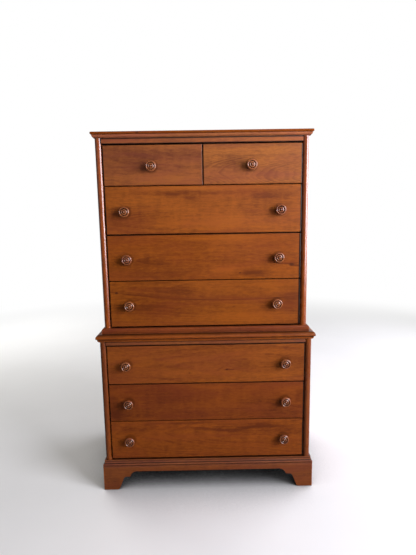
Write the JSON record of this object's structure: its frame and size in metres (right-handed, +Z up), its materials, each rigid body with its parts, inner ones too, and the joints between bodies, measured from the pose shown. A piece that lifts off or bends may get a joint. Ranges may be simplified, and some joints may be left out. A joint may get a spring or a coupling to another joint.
{
  "type": "chest on chest",
  "caption": "Chest on chest in red-brown cherry: an upper case of drawers on a slightly wider lower case, turned wood knobs, moulded waist and scrolled bracket feet.",
  "frame": {"origin": "on the floor, under the middle of the overall width and depth, drawer knobs included", "axes": "+Z up, +X to the right of someone facing the drawers, +Y to the back; the drawers face -Y and slide out along -Y"},
  "size_m": [0.86, 0.4814, 1.4205],
  "materials": {
    "case_cherry": "satin lacquer over a red-brown cherry stain",
    "drawer_front_cherry": "satin lacquer over a red-brown cherry stain",
    "knob_cherry": "polished, turned cherry",
    "inner_poplar": "plain sanded wood",
    "back_plywood": "plain plywood",
    "screw_steel": "zinc plated"
  },
  "bodies": {
    "case": {"back_panel_screws": "screw_steel", "base_moulding": "case_cherry", "bracket_base_back": "inner_poplar", "bracket_base_front": "case_cherry", "bracket_base_left": "case_cherry", "bracket_base_right": "case_cherry", "corner_blocks": "inner_poplar", "cornice_moulding": "case_cherry", "lower_back_panel": "back_plywood", "lower_bottom_frame": "inner_poplar", "lower_side_left": "case_cherry", "lower_side_right": "case_cherry", "lower_top_frame": "inner_poplar", "small_drawer_partition": "inner_poplar", "top_board": "case_cherry", "upper_back_panel": "back_plywood", "upper_bottom_frame": "inner_poplar", "upper_side_left": "case_cherry", "upper_side_right": "case_cherry", "upper_top_frame": "inner_poplar", "waist_bed_moulding": "case_cherry", "waist_board": "case_cherry", "waist_moulding": "case_cherry", "web_frame_1": "inner_poplar", "web_frame_2": "inner_poplar", "web_frame_3": "inner_poplar", "web_frame_4": "inner_poplar", "web_frame_5": "inner_poplar"},
    "small_drawer_left": {"small_drawer_left_box": "inner_poplar", "small_drawer_left_front": "drawer_front_cherry", "small_drawer_left_knob_screws": "screw_steel", "small_drawer_left_knobs": "knob_cherry"},
    "small_drawer_right": {"small_drawer_right_box": "inner_poplar", "small_drawer_right_front": "drawer_front_cherry", "small_drawer_right_knob_screws": "screw_steel", "small_drawer_right_knobs": "knob_cherry"},
    "upper_drawer_1": {"upper_drawer_1_box": "inner_poplar", "upper_drawer_1_front": "drawer_front_cherry", "upper_drawer_1_knob_screws": "screw_steel", "upper_drawer_1_knobs": "knob_cherry"},
    "upper_drawer_2": {"upper_drawer_2_box": "inner_poplar", "upper_drawer_2_front": "drawer_front_cherry", "upper_drawer_2_knob_screws": "screw_steel", "upper_drawer_2_knobs": "knob_cherry"},
    "upper_drawer_3": {"upper_drawer_3_box": "inner_poplar", "upper_drawer_3_front": "drawer_front_cherry", "upper_drawer_3_knob_screws": "screw_steel", "upper_drawer_3_knobs": "knob_cherry"},
    "lower_drawer_1": {"lower_drawer_1_box": "inner_poplar", "lower_drawer_1_front": "drawer_front_cherry", "lower_drawer_1_knob_screws": "screw_steel", "lower_drawer_1_knobs": "knob_cherry"},
    "lower_drawer_2": {"lower_drawer_2_box": "inner_poplar", "lower_drawer_2_front": "drawer_front_cherry", "lower_drawer_2_knob_screws": "screw_steel", "lower_drawer_2_knobs": "knob_cherry"},
    "lower_drawer_3": {"lower_drawer_3_box": "inner_poplar", "lower_drawer_3_front": "drawer_front_cherry", "lower_drawer_3_knob_screws": "screw_steel", "lower_drawer_3_knobs": "knob_cherry"}
  },
  "joints": [
    {"name": "small_drawer_left_slide", "type": "slide", "parent": "case", "child": "small_drawer_left", "axis": [0, -1, 0], "range_m": [0, 0.326]},
    {"name": "small_drawer_right_slide", "type": "slide", "parent": "case", "child": "small_drawer_right", "axis": [0, -1, 0], "range_m": [0, 0.326]},
    {"name": "upper_drawer_1_slide", "type": "slide", "parent": "case", "child": "upper_drawer_1", "axis": [0, -1, 0], "range_m": [0, 0.326]},
    {"name": "upper_drawer_2_slide", "type": "slide", "parent": "case", "child": "upper_drawer_2", "axis": [0, -1, 0], "range_m": [0, 0.326]},
    {"name": "upper_drawer_3_slide", "type": "slide", "parent": "case", "child": "upper_drawer_3", "axis": [0, -1, 0], "range_m": [0, 0.326]},
    {"name": "lower_drawer_1_slide", "type": "slide", "parent": "case", "child": "lower_drawer_1", "axis": [0, -1, 0], "range_m": [0, 0.34]},
    {"name": "lower_drawer_2_slide", "type": "slide", "parent": "case", "child": "lower_drawer_2", "axis": [0, -1, 0], "range_m": [0, 0.34]},
    {"name": "lower_drawer_3_slide", "type": "slide", "parent": "case", "child": "lower_drawer_3", "axis": [0, -1, 0], "range_m": [0, 0.34]}
  ]
}
